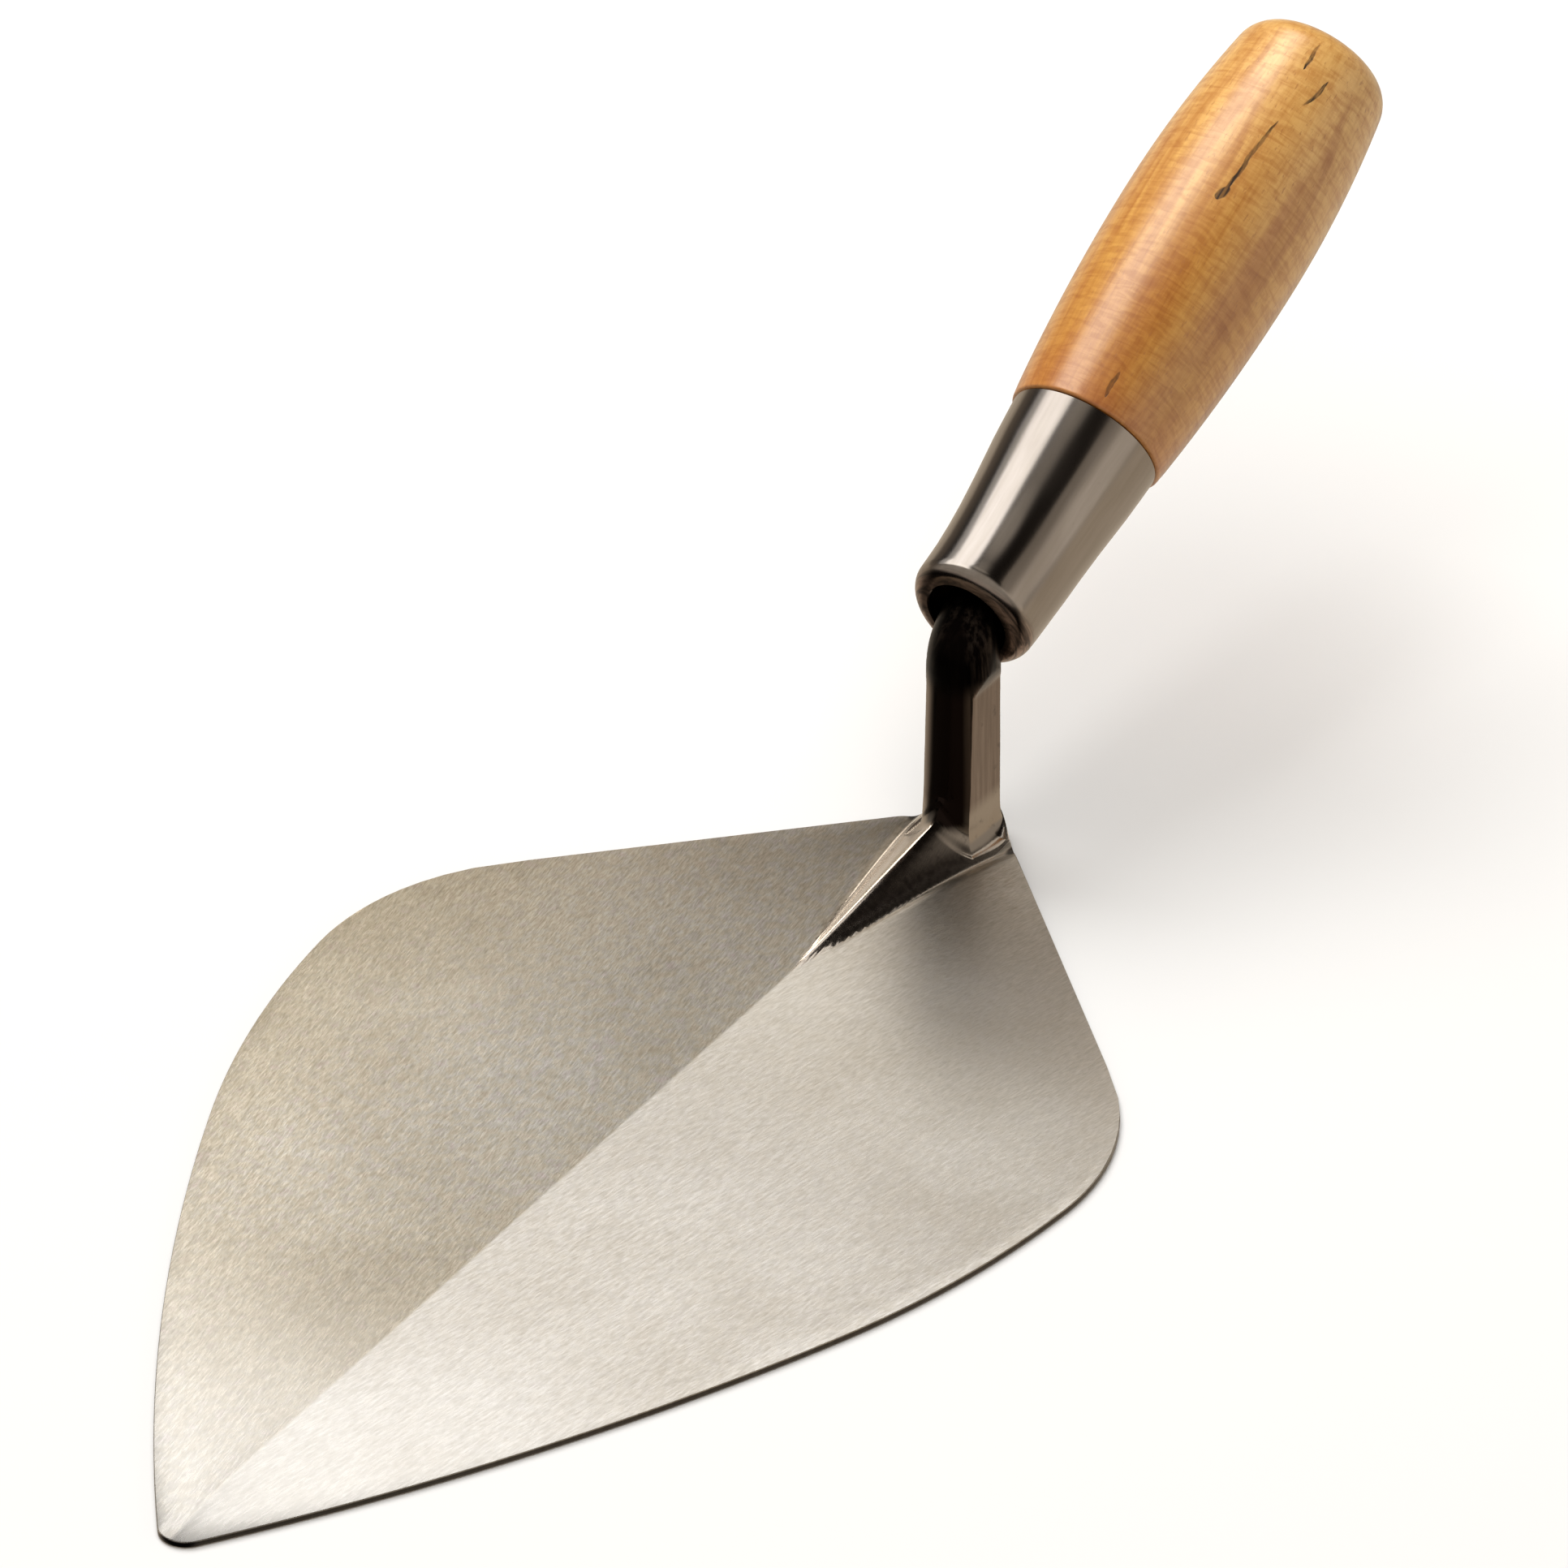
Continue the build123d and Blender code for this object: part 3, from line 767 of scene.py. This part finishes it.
def drawn_steel():
    """Mild steel tube, drawn and buffed: satin, with faint lengthwise lines, small dark specks, and
    swirled dark marks where the front lip was rolled in."""
    made, tree = new_material("buffed_drawn_steel")
    place, (lines, specks, clouds, swirl) = grip_noises(
        tree,
        (
            ((0.9, 0.9, 30.0), 3.0, 0.55, 0.0),
            ((0.45, 0.45, 0.6), 4.0, 0.7, 0.0),
            ((7.0, 7.0, 16.0), 3.0, 0.55, 0.0),
            ((5.0, 5.0, 0.5), 3.0, 0.6, 1.4),
        ),
    )
    colour = add_node(tree, "ValToRGB", (lines,), ((0.3, "#a0988f"), (0.5, "#a59d95"), (0.7, "#aaa29b")))
    cloudy = add_node(tree, "MapRange", (clouds, 0.4, 0.7, 0.0, 0.25), **SOFT)
    colour = add_node(tree, "Mix", (cloudy, colour, "#857a70"), **COLOUR)
    specked = add_node(tree, "MapRange", (specks, 0.66, 0.8, 0.0, 0.5), **SOFT)
    colour = add_node(tree, "Mix", (specked, colour, "#4b4039"), **COLOUR)
    along = add_node(tree, "SeparateXYZ", (place,)).outputs["Z"]
    lip = add_node(tree, "MapRange", (along, -39.6, -42.4, 0.0, 1.0), **SOFT)
    rolled = add_node(tree, "ValToRGB", (swirl,), ((0.38, "#3c2d29"), (0.5, "#7f6a60"), (0.62, "#a89084")))
    lip_share = add_node(tree, "Math", (lip, 0.85), operation="MULTIPLY")
    colour = add_node(tree, "Mix", (lip_share, colour, rolled), **COLOUR)
    rough = add_node(tree, "MapRange", (clouds, 0.35, 0.7, 0.16, 0.2), **SOFT)
    relief = add_node(tree, "Mix", (lip, lines, swirl), **COLOUR)
    bumped = add_node(tree, "Bump", {"Strength": 0.05, "Distance": 0.00006, "Height": relief})
    steel = {"Base Color": colour, "Metallic": 1.0, "Roughness": rough, "Normal": bumped}
    add_node(tree, "OutputMaterial", (add_node(tree, "BsdfPrincipled", steel),))
    return made


# Mineral streaks in the grip's wood: from and to, each as millimetres behind the front edge and
# degrees around from the grip's upper left line, and half of the width in millimetres
GRIP_TOP_TURN = math.radians(28.9)
GRIP_MEAN_RADIUS = 16.0
MINERAL_STREAKS = (
    (46.4, -8.5, 66.3, -4.0, 0.42),
    (46.2, -8.8, 49.6, -7.2, 0.85),
    (2.2, -4.2, 7.8, -3.4, 0.48),
    (78.2, -6.2, 84.6, -5.4, 0.4),
    (71.7, 7.0, 78.9, 12.0, 0.4),
    (10.0, 120.0, 30.0, 124.0, 0.4),
    (52.0, 170.0, 70.0, 166.0, 0.4),
    (20.0, 215.0, 27.0, 213.0, 0.4),
)


def streak_mask(tree, along, turn, wander):
    """1 inside a mineral streak: thin lines that taper to both ends and wander with the grain."""
    total = None
    for first_along, first_turn, last_along, last_turn, width in MINERAL_STREAKS:
        half = (last_along - first_along) / 2
        lean = math.radians(last_turn - first_turn) / 2
        middle_turn = math.radians(first_turn + last_turn) / 2
        ahead = add_node(tree, "Math", (along, first_along + half), operation="SUBTRACT")
        ahead = add_node(tree, "Math", (ahead, half), operation="DIVIDE")
        line = add_node(tree, "Math", (ahead, lean, middle_turn), operation="MULTIPLY_ADD")
        aside = add_node(tree, "Math", (turn, line), operation="SUBTRACT")
        aside = add_node(tree, "Math", (aside, wander), operation="ADD")
        aside = add_node(tree, "Math", (aside,), operation="ABSOLUTE")
        taper = add_node(tree, "Math", (ahead, ahead), operation="MULTIPLY")
        taper = add_node(tree, "Math", (1.0, taper), operation="SUBTRACT")
        taper = add_node(tree, "Math", (taper, 0.0), operation="MAXIMUM")
        taper = add_node(tree, "Math", (taper,), operation="SQRT")
        reach = add_node(tree, "Math", (taper, width / GRIP_MEAN_RADIUS), operation="MULTIPLY")
        reach = add_node(tree, "Math", (reach, 1e-5), operation="MAXIMUM")
        inside = add_node(tree, "Math", (aside, reach), operation="DIVIDE")
        inside = add_node(tree, "Math", (1.0, inside), operation="SUBTRACT")
        mark = add_node(tree, "MapRange", (inside, -0.15, 0.35, 0.0, 1.0), **SOFT)
        total = mark if total is None else add_node(tree, "Math", (total, mark), operation="MAXIMUM")
    return total


def lacquered_maple():
    """Hard maple, turned and lacquered: honey colour that deepens towards the ferrule, fine fibre
    streaks, cross ripples that catch the light, small darker flecks and a few black mineral streaks."""
    made, tree = new_material("lacquered_hard_maple")
    place, (figure, fibres, flecks, ripple, bands, waver) = grip_noises(
        tree,
        (
            ((9.0, 9.0, 60.0), 4.0, 0.5, 0.5),
            ((0.55, 0.55, 14.0), 4.0, 0.65, 0.0),
            ((0.3, 0.3, 1.1), 3.0, 0.6, 0.0),
            ((3.0, 3.0, 0.75), 3.0, 0.5, 0.8),
            ((3.2, 3.2, 75.0), 2.0, 0.5, 0.6),
            ((40.0, 40.0, 5.0), 3.0, 0.55, 0.0),
        ),
    )
    parts = add_node(tree, "SeparateXYZ", (place,))
    along = parts.outputs["Z"]
    turn = add_node(tree, "Math", (parts.outputs["Y"], parts.outputs["X"]), operation="ARCTAN2")
    turn = add_node(tree, "Math", (turn, GRIP_TOP_TURN), operation="SUBTRACT")
    turn = add_node(tree, "Math", (turn, math.pi * 1.4, -math.pi * 0.6), operation="WRAP")

    # honey ground, deeper at the ferrule and in long bands; painted light makes it paler towards the butt
    stops = ((0.3, "#b0702f"), (0.45, "#c0863e"), (0.58, "#cf9a4c"), (0.72, "#be8238"))
    colour = add_node(tree, "ValToRGB", (figure,), stops)
    for value, low, high, most, code in (
        # painted light: paler towards the butt
        (along, 20.0, 84.0, 0.72, "#eabf78"),
        (along, 14.0, -2.0, 0.45, "#bb7640"),
        (bands, 0.56, 0.68, 0.45, "#b06f38"),
    ):
        share = add_node(tree, "MapRange", (value, low, high, 0.0, most), **SOFT)
        colour = add_node(tree, "Mix", (share, colour, code), **COLOUR)
    for share, pattern, stops in (
        (0.75, fibres, ((0.32, "#e2cdb2"), (0.5, "#f6efe6"), (0.66, "#ffffff"))),
        (0.6, ripple, ((0.35, "#d9bd97"), (0.6, "#ffffff"))),
    ):
        tone = add_node(tree, "ValToRGB", (pattern,), stops)
        colour = add_node(tree, "Mix", (share, colour, tone), **SHADE)
    flecked = add_node(tree, "MapRange", (flecks, 0.58, 0.72, 0.0, 0.65), **SOFT)
    colour = add_node(tree, "Mix", (flecked, colour, "#a56a38"), **COLOUR)

    wander = add_node(tree, "MapRange", (waver, 0.3, 0.7, -0.03, 0.03), interpolation_type="LINEAR")
    mineral = streak_mask(tree, along, turn, wander)
    broken = add_node(tree, "MapRange", (fibres, 0.35, 0.6, 0.4, 1.0), **SOFT)
    black = add_node(tree, "Math", (mineral, broken), operation="MULTIPLY")
    colour = add_node(tree, "Mix", (black, colour, "#180e09"), **COLOUR)

    rough = add_node(tree, "MapRange", (ripple, 0.3, 0.7, 0.46, 0.36), **SOFT)
    height = add_node(tree, "Mix", (0.5, ripple, fibres), **COLOUR)
    height = add_node(tree, "Mix", (mineral, height, "#000000"), **COLOUR)
    bumped = add_node(tree, "Bump", {"Strength": 0.45, "Distance": 0.00012, "Height": height})
    wood = {"Base Color": colour, "Roughness": rough, "IOR": 1.5, "Normal": bumped}
    lacquer = {"Coat Weight": 1.0, "Coat Roughness": 0.26}
    add_node(tree, "OutputMaterial", (add_node(tree, "BsdfPrincipled", {**wood, **lacquer}),))
    return made


forging = forge_blade()
grip = turn_grip()
ferrule = spin_ferrule()

for piece, node, slot, finish in (
    (forging, "blade_forging", "blade_steel", forged_steel()),
    (ferrule, "ferrule", "ferrule_steel", drawn_steel()),
    (grip, "wood_handle", "grip_wood", lacquered_maple()),
):
    piece.data.materials.append(finish)
    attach(piece, "root")
    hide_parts(node)


# ---------------------------------------------------------------- floor, lights and camera
def make_floor():
    """A matt white table, which the lamps light evenly. The steel doesn't mirror it, because it mirrors
    the room's own darker table."""
    deselect_all()
    bpy.ops.mesh.primitive_plane_add(size=60, location=(0, 0, -0.0002))
    floor = bpy.context.object
    floor.name = "floor"
    floor.visible_glossy = False
    made, tree = new_material("matt_white_table")
    paint = {"Base Color": "#f6f5f3", "Roughness": 1.0, "Specular IOR Level": 0.0}
    add_node(tree, "OutputMaterial", (add_node(tree, "BsdfPrincipled", paint),))
    floor.data.materials.append(made)
    return floor


def from_direction(azimuth, elevation, distance, aim=(0.06, 0, 0.02)):
    """A place around the trowel; azimuth 0 is the tip's side (+X) and 90 is +Y."""
    turn, climb = math.radians(azimuth), math.radians(elevation)
    way = Vector((math.cos(turn) * math.cos(climb), math.sin(turn) * math.cos(climb), math.sin(climb)))
    return Vector(aim) + way * distance


def soft_light(name, place, aim, size, power, code="#ffffff", along=(0, 1, 0), lit=(), mirrored=True):
    """An even rectangular lamp. Its width runs along a direction, it may be flagged off all but some
    pieces, and it may be kept out of the steel's and the lacquer's reflections."""
    data = bpy.data.lights.new(name, "AREA")
    data.shape = "RECTANGLE"
    data.size, data.size_y = size
    data.energy = power
    data.color = srgb(code)[:3]
    lamp = bpy.data.objects.new(name, data)
    facing = (Vector(place) - Vector(aim)).normalized()
    across = (Vector(along) - facing * facing.dot(Vector(along))).normalized()
    turned = Matrix((across, facing.cross(across), facing)).transposed().to_4x4()
    lamp.matrix_world = Matrix.Translation(place) @ turned
    lamp.visible_camera = False
    lamp.visible_glossy = mirrored
    bpy.context.scene.collection.objects.link(lamp)
    if lit:
        flagged = bpy.data.collections.new(name + "_pieces")
        for piece in lit:
            flagged.objects.link(piece)
        lamp.light_linking.receiver_collection = flagged


def make_camera():
    back = Vector((0.70, 0.442, 0.561)).normalized()
    right = Vector((-0.534, 0.845, 0)).normalized()
    up = back.cross(right)
    target = (right * -33.1 + up * 9.15) * MM
    data = bpy.data.cameras.new("camera")
    data.lens = 1400
    data.sensor_width = 36
    frame_width = 0.2841
    distance = frame_width * data.lens / data.sensor_width
    data.clip_start, data.clip_end = 1.0, 60.0
    camera = bpy.data.objects.new("camera", data)
    camera.location = target + back * distance
    camera.rotation_mode = "QUATERNION"
    camera.rotation_quaternion = back.to_track_quat("Z", "Y")
    bpy.context.scene.collection.objects.link(camera)
    bpy.context.scene.camera = camera


def make_studio():
    """The room that the steel mirrors: soft grey walls and ceiling patch, with a dark corner behind on
    the left and a dark strip overhead that give the steel its contrast, and a taupe table."""
    world = bpy.data.worlds.new("studio")
    world.use_nodes = True
    tree = world.node_tree
    tree.nodes.clear()
    way = add_node(tree, "TexCoord").outputs["Generated"]
    parts = add_node(tree, "SeparateXYZ", (way,))
    x, y, z = (parts.outputs[axis] for axis in "XYZ")

    below = add_node(tree, "MapRange", (x, 0.5, -0.15, 0.0, 1.0), **SOFT)
    table = add_node(tree, "Mix", (below, "#0a0808", "#cbbdaa"), **COLOUR)
    corner_rise = add_node(tree, "MapRange", (z, 0.12, 0.42, 0.0, 1.0), **SOFT)
    corner = add_node(tree, "Mix", (corner_rise, "#6f655b", "#15110f"), **COLOUR)
    front = add_node(tree, "MapRange", (x, 0.12, 0.5, 0.0, 1.0), **SOFT)
    right = add_node(tree, "MapRange", (y, 0.02, 0.4, 0.0, 1.0), **SOFT)
    low = add_node(tree, "MapRange", (z, 0.64, 0.38, 0.0, 1.0), **SOFT)
    right = add_node(tree, "Math", (right, low), operation="MULTIPLY")
    ceiling = add_node(tree, "MapRange", (z, 0.955, 0.995, 0.0, 1.0), **SOFT)
    walls = add_node(tree, "Math", (front, right), operation="MAXIMUM")
    walls = add_node(tree, "Math", (walls, ceiling), operation="MAXIMUM")
    upper = add_node(tree, "Mix", (walls, corner, "#b3aca3"), **COLOUR)
    above = add_node(tree, "MapRange", (z, -0.12, 0.08, 0.0, 1.0), **SOFT)
    room = add_node(tree, "Mix", (above, table, upper), **COLOUR)
    back = add_node(tree, "Background", (room, 1.0))
    add_node(tree, "OutputWorld", (back,))
    bpy.context.scene.world = world


floor = make_floor()
make_camera()
make_studio()

# The card that the blade mirrors, more and more of it towards the tip, and a dimmer one below it that
# softens its lower edge
CARD_FOOT = Vector((-0.138, -0.20, 0.217))
CARD_RISE = Vector((0.42, 0, 0.906))
CARD_FACING = Vector((0.906, 0, -0.42))
for name, up_card, size, power, code in (
    ("blade_card", 0.15, (0.52, 0.30), 1.01, "#fefefe"),
    ("blade_card_low", -0.06, (0.52, 0.12), 0.19, "#fffaf2"),
):
    card = CARD_FOOT + CARD_RISE * up_card
    soft_light(name, card, card + CARD_FACING, size, power, code, lit=(forging,))

# A low card behind on the left, which lights the ridge's left flank and its crest
flank_place, flank_aim = (-0.30, -0.37, 0.05), (0.03, 0, 0.006)
soft_light("flank_card", flank_place, flank_aim, (0.14, 0.07), 0.2, "#fff8ec", lit=(forging,))

# Long cards beside the grip: those on the left draw the light bands along ferrule and wood, and the
# right one fills the other side. The dim one softens the left edge of the ferrule's band.
GRIP_AXIS = (-0.9085, 0, 0.4179)
LEFT_PLACE, LEFT_FACING = Vector((-0.0845, -0.33, 0.57)), Vector((0.3499, -0.5465, 0.7608))
RIGHT_PLACE, RIGHT_FACING = Vector((-0.185, 0.4695, 0.32)), Vector((0.1439, 0.939, 0.313))
TOWARDS_TOP = Vector((0.2284, 0.8374, 0.4965))
LOWER_PLACE = LEFT_PLACE - TOWARDS_TOP * 0.1
WOOD_SHIFT = Vector(GRIP_AXIS) * 0.12 + TOWARDS_TOP * 0.08
for name, place, facing, size, power, code, lit in (
    ("band_card", LEFT_PLACE, LEFT_FACING, (0.7, 0.42), 1.75, "#fffefd", (ferrule,)),
    ("band_card_dim", LOWER_PLACE, LEFT_FACING, (0.7, 0.56), 0.75, "#fffefd", (ferrule,)),
    ("grip_card", LEFT_PLACE + WOOD_SHIFT, LEFT_FACING, (0.8, 0.34), 4.1, "#fff7ea", (grip,)),
    ("fill_card", RIGHT_PLACE, RIGHT_FACING, (0.7, 0.5), 0.35, "#fff1e0", (ferrule, grip)),
):
    soft_light(name, place, place - facing, size, power, code, GRIP_AXIS, lit)

# Lamps over the table that steel and lacquer don't mirror. The second one leaves the wood its shade.
left_lamp = from_direction(-125, 55, 3.0)
soft_light("table_left", left_lamp, (0, 0, 0), (2.0, 2.0), 62.0, mirrored=False)
soft_light("table_over", (0.3, 0.2, 3.2), (0.05, 0, 0), (3.0, 3.0), 60.0, lit=(floor,), mirrored=False)

bpy.context.scene.view_settings.view_transform = "Standard"
